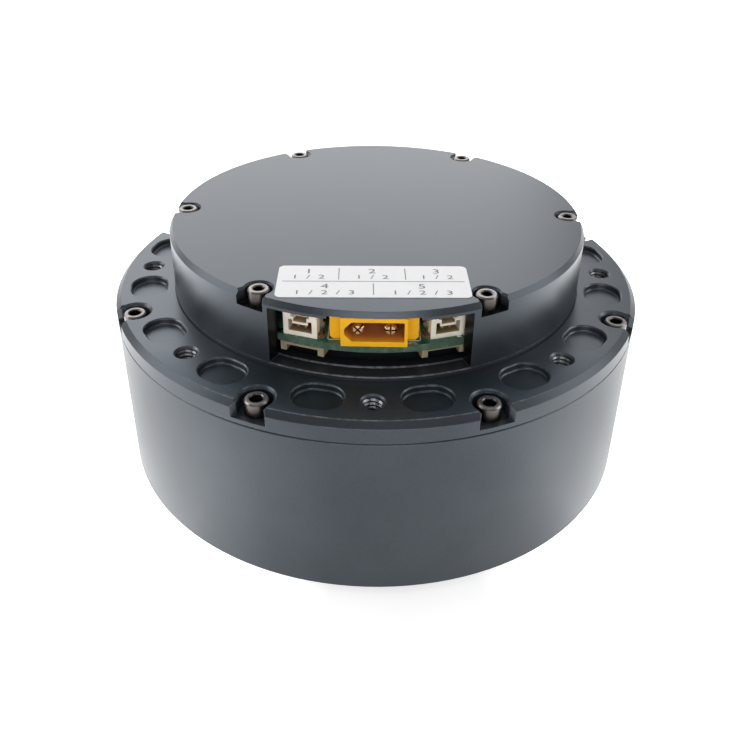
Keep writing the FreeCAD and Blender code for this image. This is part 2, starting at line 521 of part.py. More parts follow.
def ball_bearing(r_in, r_out, z0, z1, ball_r, count, name):
    rc, zc = (r_in + r_out) / 2.0, (z0 + z1) / 2.0
    lip = ball_r * 0.55
    inner = ring(rc - lip, r_in, z0, z1)
    outer = ring(r_out, rc + lip, z0, z1)
    groove = Part.makeTorus(rc, ball_r + 0.03, V(0, 0, zc))
    save(name + "_inner", inner.cut(groove))
    save(name + "_outer", outer.cut(groove))
    save(name + "_balls", around(Part.makeSphere(ball_r, V(rc, 0, zc)), count))


# ---------------------------------------------------------------- driver board
def header_place(shape, cx, cy, z, angle):
    """Local frame: x along the width, front face at y = 0 facing -Y, base at z = 0."""
    s = shape.copy()
    s.rotate(V(0, 0, 0), V(0, 0, 1), angle)
    s.translate(V(cx, cy, z))
    return s


def make_board():
    z0, z1 = Z_BOARD
    board = cyl(R_BOARD, z0, z1)
    tools = []
    for k in range(N_COVER_SCREWS):
        tools.append(cyl(2.75, z0 - 1, z1 + 1, *pol(R_COVER_SCREWS, A_COVER_SCREW + 60 * k)))
    posts, screws = [], []
    for k in range(4):
        x, y = pol(28.5, 45 + 90 * k)
        tools.append(cyl(1.0, z0 - 1, z1 + 1, x, y))
        posts.append(hexagon(4.0, Z_FLANGE, z0, x, y).cut(cyl(1.0, Z_FLANGE - 1, z0 + 1, x, y)))
        head = cyl(1.9, z1, z1 + 1.1, x, y).fuse(cyl(1.0, 31.5, z1, x, y)).removeSplitter()
        screws.append(head.cut(hexagon(1.3, z1 + 0.4, z1 + 2, x, y)))
    save("driver_board", cut_all(board, tools))
    save("board_standoffs", posts)
    save("board_screws", screws)

    # power connector: keyed shell with a deep socket, side wings behind its face
    yf = -34.7
    wing = [(-6.85, z1 + 0.5), (-6.35, z1), (6.35, z1), (6.85, z1 + 0.5), (6.85, z1 + 4.5), (-6.85, z1 + 4.5), (-6.85, z1 + 0.5)]
    wings = Part.Face(Part.makePolygon([V(x, -32.5, z) for x, z in wing])).extrude(V(0, 8.3, 0))
    shell = box(-5.1, 5.1, yf, yf + 12.0, z1, z1 + 4.95).fuse(wings).removeSplitter()
    sx0, sx1, sz0, sz1 = -4.55, 4.6, z1 + 0.85, z1 + 4.2
    c1 = 1.15
    pts = [(sx0 + c1, sz0), (sx1, sz0), (sx1, sz1), (sx0 + c1, sz1), (sx0, sz1 - c1), (sx0, sz0 + c1), (sx0 + c1, sz0)]
    cav = Part.Face(Part.makePolygon([V(x, yf - 1, z) for x, z in pts])).extrude(V(0, 7.5, 0))
    shell = shell.cut(cav)
    pins = []
    for x, turn in ((-2.5, 45.0), (2.5, 0.0)):
        pz = z1 + 2.5
        p = Part.makeCylinder(1.0, 8.4, V(x, yf + 1.1, pz), V(0, 1, 0)).fuse(Part.makeCone(0.7, 1.0, 0.4, V(x, yf + 0.7, pz), V(0, 1, 0)))
        for q in (0.0, 90.0):
            s = box(-0.14, 0.14, yf, yf + 4.2, -1.3, 1.3)
            s.rotate(V(0, 0, 0), V(0, 1, 0), turn + q)
            s.translate(V(x, 0, pz))
            p = p.cut(s)
        pins.append(p)
        shell = shell.cut(Part.makeCylinder(1.0, 4.0, V(x, yf + 5.5, pz), V(0, 1, 0)))
    save("power_connector", shell)
    save("power_pins", pins)

    # two-way signal headers, side entry, turned to follow the board edge
    w, h, d = 5.6, 4.0, 4.5
    body = box(-w / 2, w / 2, 0, d, 0, h)
    body = body.cut(box(-1.95, 1.95, -1, 3.6, 0.8, 2.1))                     # mouth
    for sx in (-1, 1):
        xa, xb = sorted((sx * 1.3, sx * 1.95))
        body = body.cut(box(xa, xb, -1, 3.6, 2.0, 2.75))                     # upper corners of the mouth
        xa, xb = sorted((sx * 1.05, sx * 1.55))
        body = body.cut(box(xa, xb, -1, 1.0, 3.3, h + 1))                    # shoulders of the latch opening
        xa, xb = sorted((sx * (w / 2 - 0.75), sx * (w / 2 + 1)))
        body = body.cut(box(xa, xb, 1.2, d + 1, 0.5, h + 1))                 # the shell is narrower behind its collar
        xa, xb = sorted((sx * (w / 2 - 0.4), sx * (w / 2 + 1)))
        body = body.cut(box(xa, xb, 0.35, d + 1, -1, 0.85))                  # undercut that clears the solder tab
    body = body.cut(box(-1.1, 1.1, -1, 1.3, 2.5, h + 1))                     # latch opening, blind
    body = body.cut(box(-0.5, 0.5, -1, 1.7, 2.9, h + 1))
    body = body.cut(box(-w / 2 + 0.75, w / 2 - 0.75, 2.4, d + 1, h - 0.5, h + 1))
    tab = box(w / 2 - 0.36, w / 2 + 0.25, 0.5, 2.6, 0, 0.3).fuse(box(w / 2 - 0.36, w / 2 - 0.1, 0.5, 2.6, 0, 0.8)).removeSplitter()
    tab = [tab, tab.mirror(V(0, 0, 0), V(1, 0, 0))]
    pin2 = [box(x - 0.2, x + 0.2, 0.9, 4.3, 1.1, 1.5) for x in (-0.625, 0.625)]
    pins, tabs = [], []
    for nm, cx, cy, ang in (("left", -11.47, -32.01, -17.7), ("right", 11.4, -31.5, 18.0)):
        s = body.copy()
        for p in pin2:
            s = s.cut(p)
        save("signal_header_" + nm, header_place(s, cx, cy, z1, ang))
        pins += [header_place(p, cx, cy, z1, ang) for p in pin2]
        tabs += [header_place(t, cx, cy, z1, ang) for t in tab]
    save("header_tabs", tabs)
    save("signal_pins", pins)

    # three-way low-profile headers under the board
    w, h, d = 7.2, 1.55, 4.2
    low = box(-w / 2, w / 2, 0, d, -h, 0)
    low = low.cut(box(-w / 2 + 1.0, w / 2 - 1.0, -1, 2.6, -h - 1, -0.5))
    contact = [box(x - 0.2, x + 0.2, 0.7, 2.6, -0.95, -0.55) for x in (-1.25, 0.0, 1.25)]
    contacts = []
    for nm, cx, cy, ang in (("left", -11.2, -32.5, -17.8), ("right", 10.85, -32.3, 17.8)):
        save("lower_header_" + nm, header_place(low, cx, cy, z0, ang))
        contacts += [header_place(c, cx, cy, z0, ang) for c in contact]
    save("lower_contacts", contacts)

    # chips
    fets = []
    for k in range(6):
        f = box(-3.0, 3.0, -2.5, 2.5, z0 - 1.0, z0)
        f.translate(V(21.0, 0, 0))
        f.rotate(V(0, 0, 0), V(0, 0, 1), 30 + 60 * k)
        fets.append(f)
    save("power_transistors", fets)
    save("thermal_pad", ring(26.0, 16.0, Z_FLANGE, z0 - 1.0))
    save("encoder_chip", box(-2.5, 2.5, -2.5, 2.5, z0 - 0.9, z0))
    save("controller_chips", [box(-14.0, -4.0, 0.0, 10.0, z1, z1 + 1.4), box(4.0, 11.0, 1.0, 8.0, z1, z1 + 0.9),
                              box(-3.0, 2.0, -14.0, -10.0, z1, z1 + 1.5), box(-1.5, 1.7, 2.0, 4.5, z1, z1 + 0.8)])
    caps = [box(x, x + 3.2, 14.0, 16.5, z1, z1 + 2.5) for x in (-12.0, -7.0, -2.0, 3.0, 8.0)]
    caps += [cyl(3.15, z1, z1 + 5.0, x, 23.0) for x in (-8.0, 0.0, 8.0)]
    save("board_capacitors", caps)


make_housing()
make_rear_flange()
make_cover()
make_stator()
make_rotor()
make_gears()
make_output()
ball_bearing(6.0, 9.0, 29.2, 33.2, 0.95, 11, "rear_bearing")
ball_bearing(2.5, 5.0, 9.1, 13.1, 0.78, 8, "pilot_bearing")
make_board()
print(len(PARTS), "nodes")
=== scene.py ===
import bpy
import bmesh
import json
import math
from mathutils import Vector, Matrix


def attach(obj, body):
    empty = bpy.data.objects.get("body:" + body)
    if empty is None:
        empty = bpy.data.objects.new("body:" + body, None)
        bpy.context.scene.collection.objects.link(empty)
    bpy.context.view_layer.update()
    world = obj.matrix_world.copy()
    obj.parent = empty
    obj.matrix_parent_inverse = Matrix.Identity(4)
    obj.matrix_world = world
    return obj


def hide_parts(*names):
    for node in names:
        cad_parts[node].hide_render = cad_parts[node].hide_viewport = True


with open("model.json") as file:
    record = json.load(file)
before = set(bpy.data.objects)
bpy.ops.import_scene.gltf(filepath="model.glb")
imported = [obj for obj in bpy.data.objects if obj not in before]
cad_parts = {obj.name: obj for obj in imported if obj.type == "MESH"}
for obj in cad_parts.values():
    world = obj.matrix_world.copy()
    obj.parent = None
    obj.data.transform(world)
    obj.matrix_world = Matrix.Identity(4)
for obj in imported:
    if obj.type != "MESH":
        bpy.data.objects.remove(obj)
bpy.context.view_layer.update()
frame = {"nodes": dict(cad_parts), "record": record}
NODES = frame["nodes"]
MM = 0.001
SCENE = bpy.context.scene
SCENE.view_settings.view_transform = "Standard"
SCENE.view_settings.look = "None"
SCENE.view_settings.exposure = 0.0
SCENE.view_settings.gamma = 1.0

# ------------------------------------------------------------------ camera
def make_camera():
    az, el, roll = math.radians(0.33), math.radians(29.67), math.radians(-0.82)
    dist, tgt = 164.2, Vector((0.0, 0.0, 26.0))
    back = Vector((math.sin(az) * math.cos(el), -math.cos(az) * math.cos(el), math.sin(el)))
    right = Vector((math.cos(az), math.sin(az), 0.0))
    up = back.cross(right)
    c, s = math.cos(roll), math.sin(roll)
    r2 = right * c - up * s
    u2 = right * s + up * c
    rot = Matrix((r2, u2, back)).transposed()
    cam = bpy.data.cameras.new("camera")
    cam.sensor_width = 36.0
    cam.sensor_fit = "HORIZONTAL"
    cam.lens = 839.28 / 750.0 * 36.0
    cam.shift_x = -(375.81 - 375.0) / 750.0
    cam.shift_y = (306.11 - 375.0) / 750.0
    cam.clip_start = 0.005
    cam.clip_end = 20.0
    ob = bpy.data.objects.new("camera", cam)
    SCENE.collection.objects.link(ob)
    ob.matrix_world = Matrix.Translation((tgt + back * dist) * MM) @ rot.to_4x4()
    SCENE.camera = ob


make_camera()


# ------------------------------------------------------------------ node helpers
class Mat:
    """A small builder for node materials."""

    def __init__(self, name):
        self.m = bpy.data.materials.new(name)
        self.m.use_nodes = True
        self.t = self.m.node_tree
        self.b = self.t.nodes["Principled BSDF"]
        self.soft = None

    def node(self, kind, **kw):
        n = self.t.nodes.new(kind)
        for k, v in kw.items():
            setattr(n, k, v)
        return n

    def link(self, a, b):
        self.t.links.new(a, b)

    def set(self, **kw):
        for k, v in kw.items():
            self.b.inputs[k.replace("_", " ")].default_value = v
        return self

    def coords(self):
        return self.node("ShaderNodeTexCoord").outputs["Object"]

    def xyz(self):
        n = self.node("ShaderNodeSeparateXYZ")
        self.link(self.coords(), n.inputs[0])
        return n.outputs["X"], n.outputs["Y"], n.outputs["Z"]

    def edges(self, radius, samples=6):
        """Rounds the shading of sharp edges; returns a mask that is 1 on an edge."""
        n = self.node("ShaderNodeBevel", samples=samples)
        n.inputs["Radius"].default_value = radius
        self.soft = n.outputs["Normal"]
        d = self.node("ShaderNodeVectorMath", operation="DOT_PRODUCT")
        self.link(self.soft, d.inputs[0])
        self.link(self.node("ShaderNodeNewGeometry").outputs["Normal"], d.inputs[1])
        return self.rerange(d.outputs["Value"], 0.995, 0.93, 0.0, 1.0)

    def inside(self, value, lo, hi, fade=0.00004):
        """1 where value lies between lo and hi."""
        return self.math("MULTIPLY", self.rerange(value, lo, lo + fade, 0.0, 1.0), self.rerange(value, hi, hi - fade, 0.0, 1.0))

    def noise(self, scale, detail=4.0, rough=0.5, vec=None, stretch=None):
        n = self.node("ShaderNodeTexNoise")
        n.inputs["Scale"].default_value = scale
        n.inputs["Detail"].default_value = detail
        n.inputs["Roughness"].default_value = rough
        v = vec if vec is not None else self.coords()
        if stretch is not None:
            mp = self.node("ShaderNodeMapping")
            mp.inputs["Scale"].default_value = stretch
            self.link(v, mp.inputs["Vector"])
            v = mp.outputs["Vector"]
        self.link(v, n.inputs["Vector"])
        return n.outputs["Fac"]

    def ramp(self, fac, stops):
        r = self.node("ShaderNodeValToRGB")
        e = r.color_ramp.elements
        while len(e) < len(stops):
            e.new(0.5)
        for i, (p, c) in enumerate(stops):
            e[i].position = p
            e[i].color = (c[0], c[1], c[2], 1.0)
        self.link(fac, r.inputs["Fac"])
        return r.outputs["Color"]

    def rerange(self, fac, a, b, lo, hi):
        r = self.node("ShaderNodeMapRange")
        for k, v in (("From Min", a), ("From Max", b), ("To Min", lo), ("To Max", hi)):
            r.inputs[k].default_value = v
        self.link(fac, r.inputs["Value"])
        return r.outputs["Result"]

    def math(self, op, a, b=None):
        r = self.node("ShaderNodeMath", operation=op)
        for i, v in enumerate((a, b)):
            if v is None:
                continue
            if isinstance(v, (int, float)):
                r.inputs[i].default_value = v
            else:
                self.link(v, r.inputs[i])
        return r.outputs[0]

    def mix(self, fac, a, b, blend="MIX"):
        r = self.node("ShaderNodeMix", data_type="RGBA", blend_type=blend)
        for i, v in ((0, fac), (6, a), (7, b)):
            if isinstance(v, (int, float)):
                r.inputs[i].default_value = v
            elif isinstance(v, tuple):
                r.inputs[i].default_value = (v[0], v[1], v[2], 1.0)
            else:
                self.link(v, r.inputs[i])
        return r.outputs[2]

    def bump(self, fac, strength, distance):
        r = self.node("ShaderNodeBump")
        r.inputs["Strength"].default_value = strength
        r.inputs["Distance"].default_value = distance
        self.link(fac, r.inputs["Height"])
        if self.soft is not None:
            self.link(self.soft, r.inputs["Normal"])
        self.link(r.outputs["Normal"], self.b.inputs["Normal"])
        return r.outputs["Normal"]

    def color(self, sock):
        self.link(sock, self.b.inputs["Base Color"])
        return self

    def rough(self, sock):
        self.link(sock, self.b.inputs["Roughness"])
        return self


# ------------------------------------------------------------------ materials
def anodised():
    m = Mat("anodised_dark")
    # painted edge highlights: a mask from the bevel normal that brightens the colour on sharp edges
    highlight_edge_mask = m.edges(0.00011)
    blotch = m.noise(55.0, 3.0, 0.55)
    grain = m.noise(2600.0, 2.0, 0.6)
    # noise that breaks up the painted highlights
    highlight_break = m.rerange(m.noise(700.0, 3.0, 0.7), 0.42, 0.62, 0.25, 1.0)
    base = m.ramp(blotch, [(0.30, (0.047, 0.056, 0.067)), (0.70, (0.061, 0.071, 0.083))])
    speck = m.rerange(grain, 0.30, 0.70, 0.90, 1.10)
    base = m.mix(1.0, base, m.ramp(speck, [(0.0, (0.0, 0.0, 0.0)), (1.0, (1.0, 1.0, 1.0))]), "MULTIPLY")
    x, y, z = m.xyz()
    rad = m.math("SQRT", m.math("ADD", m.math("MULTIPLY", x, x), m.math("MULTIPLY", y, y)))
    # painted shade: darker inside the cover, in its window and on its screw seats; painted shade with a blue cast on
    # the front of the flange's flat face, which is also a little rougher, and painted light on that face at its sides
    # painted shade inside the cover and its screw seats
    interior_shade = m.math("MULTIPLY", m.math("MULTIPLY", m.rerange(z, 0.03490, 0.03500, 0.0, 1.0), m.rerange(z, 0.0438, 0.0454, 1.0, 0.0)),
                  m.rerange(rad, 0.03722, 0.03732, 1.0, 0.0))
    # the flange's flat face: painted shade at its front, painted light at its sides
    face = m.math("MULTIPLY", m.inside(z, 0.0312, 0.03415), m.inside(rad, 0.0375, 0.0470))
    side_light = m.math("MULTIPLY", face, m.rerange(y, -0.036, -0.025, 0.0, 1.0))
    face = m.math("MULTIPLY", face, m.rerange(y, -0.043, -0.029, 1.0, 0.0))
    shade = m.math("SUBTRACT", 1.0, m.math("ADD", m.math("MULTIPLY", interior_shade, 0.90), m.math("MULTIPLY", face, 0.42)))
    base = m.mix(1.0, base, m.ramp(shade, [(0.0, (0.0, 0.0, 0.0)), (1.0, (1.0, 1.0, 1.0))]), "MULTIPLY")
    # painted shade with a blue cast on the front of the flange face
    base = m.mix(face, base, m.mix(1.0, base, (0.78, 1.02, 1.14), "MULTIPLY"))
    # painted light: the flange face made brighter at its sides
    base = m.mix(side_light, base, m.mix(1.0, base, (1.40, 1.38, 1.36), "MULTIPLY"))
    # painted highlights on the turned rims: stronger on the flange's outer rim at the front, and on the foot ring and
    # the locating ring
    rim = m.math("ADD", m.math("MULTIPLY", m.inside(rad, 0.0468, 0.0472), m.rerange(y, -0.044, -0.036, 1.0, 0.0)), m.inside(z, 0.0345, 0.0350))
    foot = m.math("MULTIPLY", m.inside(rad, 0.0372, 0.0378), m.inside(z, 0.0336, 0.0342))
    highlight_edge_mask = m.math("MULTIPLY", highlight_edge_mask, m.math("SUBTRACT", 1.0, foot))
    edge_highlight = m.math("MULTIPLY", m.math("MULTIPLY", highlight_edge_mask, highlight_break), m.math("ADD", 0.40, m.math("MULTIPLY", rim, 0.45)))
    # painted highlight lines: the flange's outer top edge at the front, the sill's edge and the locating ring's edge
    line = m.math("MULTIPLY", m.inside(rad, 0.04688, 0.04712), m.inside(z, 0.03385, 0.03415))
    line = m.math("MULTIPLY", line, m.rerange(y, -0.044, -0.036, 0.6, 0.0))
    sill = m.math("MULTIPLY", m.inside(rad, 0.03722, 0.03746), m.inside(z, 0.03468, 0.03488))
    ring = m.math("MULTIPLY", m.inside(rad, 0.03450, 0.03478), m.inside(z, 0.03470, 0.03498))
    lines = m.math("MULTIPLY", m.math("ADD", line, m.math("ADD", sill, ring)), m.math("MULTIPLY", highlight_break, 0.75))
    # painted highlight lines along edges at two heights on the flange face
    edge = m.math("ADD", m.math("MULTIPLY", m.inside(z, 0.03380, 0.03403), 0.34), m.math("MULTIPLY", m.inside(z, 0.03286, 0.03304), 0.22))
    lines = m.math("MAXIMUM", lines, m.math("MULTIPLY", m.math("MULTIPLY", edge, highlight_break), m.inside(rad, 0.0377, 0.0468)))
    # the painted highlights and highlight lines take this pale grey
    m.color(m.mix(m.math("MAXIMUM", edge_highlight, lines), base, (0.27, 0.28, 0.29)))
    r = m.math("ADD", m.rerange(blotch, 0.3, 0.7, 0.30, 0.34), m.rerange(grain, 0.3, 0.7, -0.02, 0.02))
    r = m.math("ADD", r, m.math("MULTIPLY", face, 0.08))
    m.rough(r)
    m.set(Metallic=0.66)
    m.b.inputs["Specular IOR Level"].default_value = 0.5
    m.bump(grain, 0.12, 0.00002)
    return m.m


def screw(name, pitch_r, count, first, head_r, af, seat):
    """Cap screws on a circle: the colour follows the distance from each screw's own axis and the height, with painted
    shade in the hex socket, a painted highlight ring near the head's rim and painted shade low on the head's side.
    """
    m = Mat(name)
    x, y, z = m.xyz()
    seg = 2.0 * math.pi / count
    ang = m.math("SUBTRACT", m.math("ARCTAN2", x, m.math("MULTIPLY", y, -1.0)), math.radians(first))
    off = m.math("SUBTRACT", ang, m.math("MULTIPLY", m.math("ROUND", m.math("DIVIDE", ang, seg)), seg))
    rad = m.math("SQRT", m.math("ADD", m.math("MULTIPLY", x, x), m.math("MULTIPLY", y, y)))
    u = m.math("SUBTRACT", m.math("MULTIPLY", rad, m.math("COSINE", off)), pitch_r)
    v = m.math("MULTIPLY", rad, m.math("SINE", off))
    d = m.math("SQRT", m.math("ADD", m.math("MULTIPLY", u, u), m.math("MULTIPLY", v, v)))
    t = m.rerange(d, 0.0, 0.0022, 0.0, 1.0)
    at = lambda mm: mm / 2.2
    # painted shade in the hex socket, painted highlight ring near the head's rim
    tone = m.ramp(t, [(0.0, (0.008, 0.008, 0.008)), (at(af / 2 + 0.04), (0.010, 0.010, 0.010)), (at(af / 2 + 0.14), (0.17, 0.160, 0.152)),
                      (at(head_r - 0.45), (0.20, 0.186, 0.176)), (at(head_r - 0.28), (0.31, 0.29, 0.275)), (at(head_r - 0.10), (0.25, 0.23, 0.22)),
                      (at(head_r + 0.02), (0.115, 0.102, 0.093))])
    # painted shade: the side of the head darkens towards its seat
    seat_shade = m.rerange(z, seat + 0.0006, seat + 0.0019, 0.94, 0.0)
    tone = m.mix(seat_shade, tone, (0.020, 0.020, 0.020))
    blotch = m.noise(1500.0, 3.0, 0.6)
    m.color(m.mix(m.rerange(blotch, 0.40, 0.75, 0.0, 0.40), tone, (0.055, 0.045, 0.040)))
    m.rough(m.rerange(blotch, 0.2, 0.8, 0.26, 0.42))
    m.set(Metallic=1.0)
    m.bump(m.noise(4200.0, 2.0, 0.6), 0.15, 0.00002)
    return m.m


def screw_steel():
    m = Mat("screw_steel")
    blotch = m.noise(900.0, 3.0, 0.6)
    m.color(m.ramp(blotch, [(0.25, (0.08, 0.07, 0.065)), (0.75, (0.16, 0.145, 0.135))]))
    m.rough(m.rerange(blotch, 0.2, 0.8, 0.26, 0.42))
    m.set(Metallic=1.0)
    m.bump(m.noise(4200.0, 2.0, 0.6), 0.15, 0.00002)
    return m.m


def bare_thread():
    m = Mat("bare_thread")
    n = m.noise(1800.0, 3.0, 0.6)
    m.color(m.ramp(n, [(0.3, (0.16, 0.17, 0.18)), (0.7, (0.30, 0.31, 0.32))]))
    m.rough(m.rerange(n, 0.3, 0.7, 0.24, 0.36))
    m.set(Metallic=1.0)
    m.bump(m.noise(5000.0, 2.0, 0.6), 0.12, 0.00002)
    return m.m


def lamination():
    m = Mat("lamination_steel")
    sep = m.node("ShaderNodeSeparateXYZ")
    m.link(m.coords(), sep.inputs[0])
    saw = m.math("FRACT", m.math("MULTIPLY", sep.outputs["Z"], 1.0 / 0.00035))
    line = m.rerange(saw, 0.0, 0.22, 0.0, 1.0)
    m.color(m.mix(line, (0.10, 0.10, 0.11), m.ramp(m.noise(400.0), [(0.3, (0.34, 0.35, 0.37)), (0.7, (0.44, 0.45, 0.47))])))
    m.set(Metallic=1.0, Roughness=0.42)
    m.bump(line, 0.6, 0.00006)
    return m.m


def copper():
    m = Mat("copper_winding")
    sep = m.node("ShaderNodeSeparateXYZ")
    m.link(m.coords(), sep.inputs[0])
    rad = m.math("SQRT", m.math("ADD", m.math("MULTIPLY", sep.outputs["X"], sep.outputs["X"]),
                                m.math("MULTIPLY", sep.outputs["Y"], sep.outputs["Y"])))
    saw = m.math("PINGPONG", m.math("MULTIPLY", rad, 1.0 / 0.00035), 1.0)
    m.color(m.ramp(saw, [(0.0, (0.20, 0.06, 0.02)), (0.45, (0.70, 0.29, 0.12))]))
    m.set(Metallic=1.0, Roughness=0.3)
    m.bump(saw, 0.8, 0.00012)
    return m.m


def plain(name, lo, hi, scale, rough, metallic=0.0, bump=0.1, bump_scale=3000.0, depth=0.00002, **kw):
    m = Mat(name)
    n = m.noise(scale, 3.0, 0.55)
    m.color(m.ramp(n, [(0.3, lo), (0.7, hi)]))
    m.rough(m.rerange(n, 0.3, 0.7, rough[0], rough[1]))
    m.set(Metallic=metallic)
    for k, v in kw.items():
        m.b.inputs[k].default_value = v
    m.bump(m.noise(bump_scale, 2.0, 0.6), bump, depth)
    return m.m


def board():
    m = Mat("board_green")
    co = m.coords()
    n = m.noise(260.0, 4.0, 0.6, vec=co)
    v = m.node("ShaderNodeTexVoronoi", feature="DISTANCE_TO_EDGE")
    v.inputs["Scale"].default_value = 420.0
    m.link(co, v.inputs["Vector"])
    trace = m.rerange(v.outputs["Distance"], 0.02, 0.07, 1.0, 0.0)
    mask = m.ramp(n, [(0.3, (0.012, 0.075, 0.055)), (0.7, (0.028, 0.125, 0.095))])
    mask = m.mix(m.math("MULTIPLY", trace, 0.5), mask, (0.055, 0.20, 0.16))
    tin = m.rerange(m.noise(520.0, 3.0, 0.55, vec=co), 0.60, 0.66, 0.0, 0.75)
    mask = m.mix(tin, mask, (0.30, 0.38, 0.36))
    # the routed edge shows the glass core: paler and more olive
    sep = m.node("ShaderNodeSeparateXYZ")
    m.link(m.node("ShaderNodeNewGeometry").outputs["Normal"], sep.inputs[0])
    flat = m.rerange(m.math("ABSOLUTE", sep.outputs["Z"]), 0.4, 0.7, 0.0, 1.0)
    core = m.ramp(m.noise(900.0, 4.0, 0.7, vec=co), [(0.3, (0.035, 0.078, 0.056)), (0.55, (0.070, 0.115, 0.080)), (0.8, (0.17, 0.21, 0.17))])
    m.color(m.mix(flat, core, mask))
    m.rough(m.rerange(n, 0.3, 0.7, 0.28, 0.42))
    m.bump(trace, 0.35, 0.00004)
    return m.m


def power_shell():
    """Moulded shell with painted highlights on its edges; painted shade takes the socket's inside to a deep brown with
    depth.
    """
    m = Mat("connector_yellow")
    highlight_edge_mask = m.edges(0.00010, 4)
    x, y, z = m.xyz()
    n = m.noise(300.0, 3.0, 0.55)
    skin = m.ramp(n, [(0.3, (0.86, 0.43, 0.008)), (0.7, (0.92, 0.49, 0.012))])
    # painted highlight on the shell's edges
    skin = m.mix(m.math("MULTIPLY", highlight_edge_mask, 0.35), skin, (1.0, 0.66, 0.10))
    box = m.math("MULTIPLY", m.inside(x, -0.00463, 0.00468), m.inside(z, 0.03942, 0.04294))
    # painted shade: the socket's inside darkens to a deep brown with depth
    deep = m.rerange(y, -0.03455, -0.0320, 0.0, 1.0)
    hole = m.ramp(deep, [(0.0, (0.90, 0.40, 0.012)), (0.25, (0.80, 0.31, 0.03)), (0.6, (0.58, 0.21, 0.05)), (1.0, (0.46, 0.17, 0.06))])
    inner = m.math("MULTIPLY", box, m.rerange(y, -0.03468, -0.03464, 0.0, 1.0))
    m.color(m.mix(inner, skin, hole))
    m.rough(m.rerange(n, 0.3, 0.7, 0.34, 0.42))
    m.b.inputs["Specular IOR Level"].default_value = 0.25
    m.bump(m.noise(3000.0, 2.0, 0.6), 0.08, 0.00002)
    return m.m


def header_shell(name, cx, cy, turn):
    """Moulded ivory shell with painted highlights on its edges and painted shade towards its rear; painted shade takes
    its mouth to a warm brown with depth.
    """
    m = Mat(name)
    highlight_edge_mask = m.edges(0.00008, 4)
    x, y, z = m.xyz()
    c, s = math.cos(math.radians(turn)), math.sin(math.radians(turn))
    dx, dy = m.math("SUBTRACT", x, cx * MM), m.math("SUBTRACT", y, cy * MM)
    u = m.math("ABSOLUTE", m.math("ADD", m.math("MULTIPLY", dx, c), m.math("MULTIPLY", dy, s)))
    v = m.math("SUBTRACT", m.math("MULTIPLY", dy, c), m.math("MULTIPLY", dx, s))
    n = m.noise(500.0, 3.0, 0.55)
    skin = m.ramp(n, [(0.3, (0.80, 0.73, 0.60)), (0.7, (0.88, 0.82, 0.71))])
    # painted highlight on the shell's edges
    skin = m.mix(m.math("MULTIPLY", highlight_edge_mask, 0.6), skin, (0.98, 0.95, 0.88))
    # painted shade towards the shell's rear
    rear = m.rerange(v, 0.0012, 0.0024, 0.0, 0.55)
    skin = m.mix(rear, skin, (0.62, 0.50, 0.33))
    # painted shade: the mouth darkens to a warm brown with depth
    hole = m.ramp(m.rerange(v, 0.0, 0.0036, 0.0, 1.0), [(0.0, (0.60, 0.47, 0.30)), (0.12, (0.34, 0.23, 0.12)), (0.35, (0.19, 0.115, 0.05)), (1.0, (0.10, 0.06, 0.03))])
    mouth = m.math("MULTIPLY", m.math("MULTIPLY", m.rerange(u, 0.00192, 0.00197, 1.0, 0.0), m.inside(z, 0.03938, 0.04147)),
                   m.rerange(v, 0.00003, 0.00008, 0.0, 1.0))
    m.color(m.mix(mouth, skin, hole))
    m.rough(m.rerange(n, 0.3, 0.7, 0.40, 0.50))
    m.bump(m.noise(3000.0, 2.0, 0.6), 0.1, 0.00002)
    return m.m


MATS = {
    "anodised_dark": anodised(),
    "screw_steel": screw_steel(),
    "lamination_steel": lamination(),
    "copper_winding": copper(),
    "lead_jacket": plain("lead_jacket", (0.40, 0.03, 0.02), (0.50, 0.05, 0.03), 500, (0.45, 0.55)),
    "rubber_black": plain("rubber_black", (0.018, 0.018, 0.018), (0.032, 0.032, 0.032), 700, (0.62, 0.75), bump=0.3),
    "gear_steel": plain("gear_steel", (0.42, 0.42, 0.42), (0.52, 0.51, 0.50), 300, (0.24, 0.36), metallic=1.0),
    "bearing_steel": plain("bearing_steel", (0.56, 0.57, 0.59), (0.64, 0.65, 0.67), 250, (0.12, 0.20), metallic=1.0, bump=0.03),
    "bronze": plain("bronze", (0.42, 0.27, 0.10), (0.56, 0.38, 0.16), 600, (0.38, 0.5), metallic=1.0, bump=0.3),
    "magnet_nickel": plain("magnet_nickel", (0.56, 0.55, 0.52), (0.64, 0.62, 0.58), 220, (0.18, 0.28), metallic=1.0),
    "board_green": board(),
    "connector_yellow": power_shell(),
    "contact_gold": plain("contact_gold", (0.86, 0.66, 0.36), (0.94, 0.77, 0.48), 500, (0.16, 0.26), metallic=1.0, bump=0.03),
    "header_ivory": plain("header_ivory", (0.80, 0.73, 0.60), (0.88, 0.82, 0.71), 500, (0.40, 0.50)),
    "header_tan": plain("header_tan", (0.26, 0.22, 0.14), (0.34, 0.29, 0.19), 500, (0.45, 0.55)),
    "chip_black": plain("chip_black", (0.018, 0.018, 0.02), (0.03, 0.03, 0.032), 900, (0.5, 0.6), bump=0.3),
    "capacitor_body": plain("capacitor_body", (0.30, 0.20, 0.12), (0.40, 0.28, 0.17), 400, (0.4, 0.5)),
    "thermal_grey": plain("thermal_grey", (0.26, 0.30, 0.34), (0.34, 0.38, 0.42), 700, (0.7, 0.8), bump=0.3),
    "standoff_brass": plain("standoff_brass", (0.62, 0.44, 0.16), (0.70, 0.52, 0.22), 400, (0.22, 0.32), metallic=1.0),
    "label_white": plain("label_white", (0.61, 0.61, 0.62), (0.65, 0.65, 0.66), 300, (0.34, 0.42)),
    "solder_tin": plain("solder_tin", (0.55, 0.56, 0.57), (0.72, 0.73, 0.74), 900, (0.22, 0.36), metallic=1.0, bump=0.3),
}
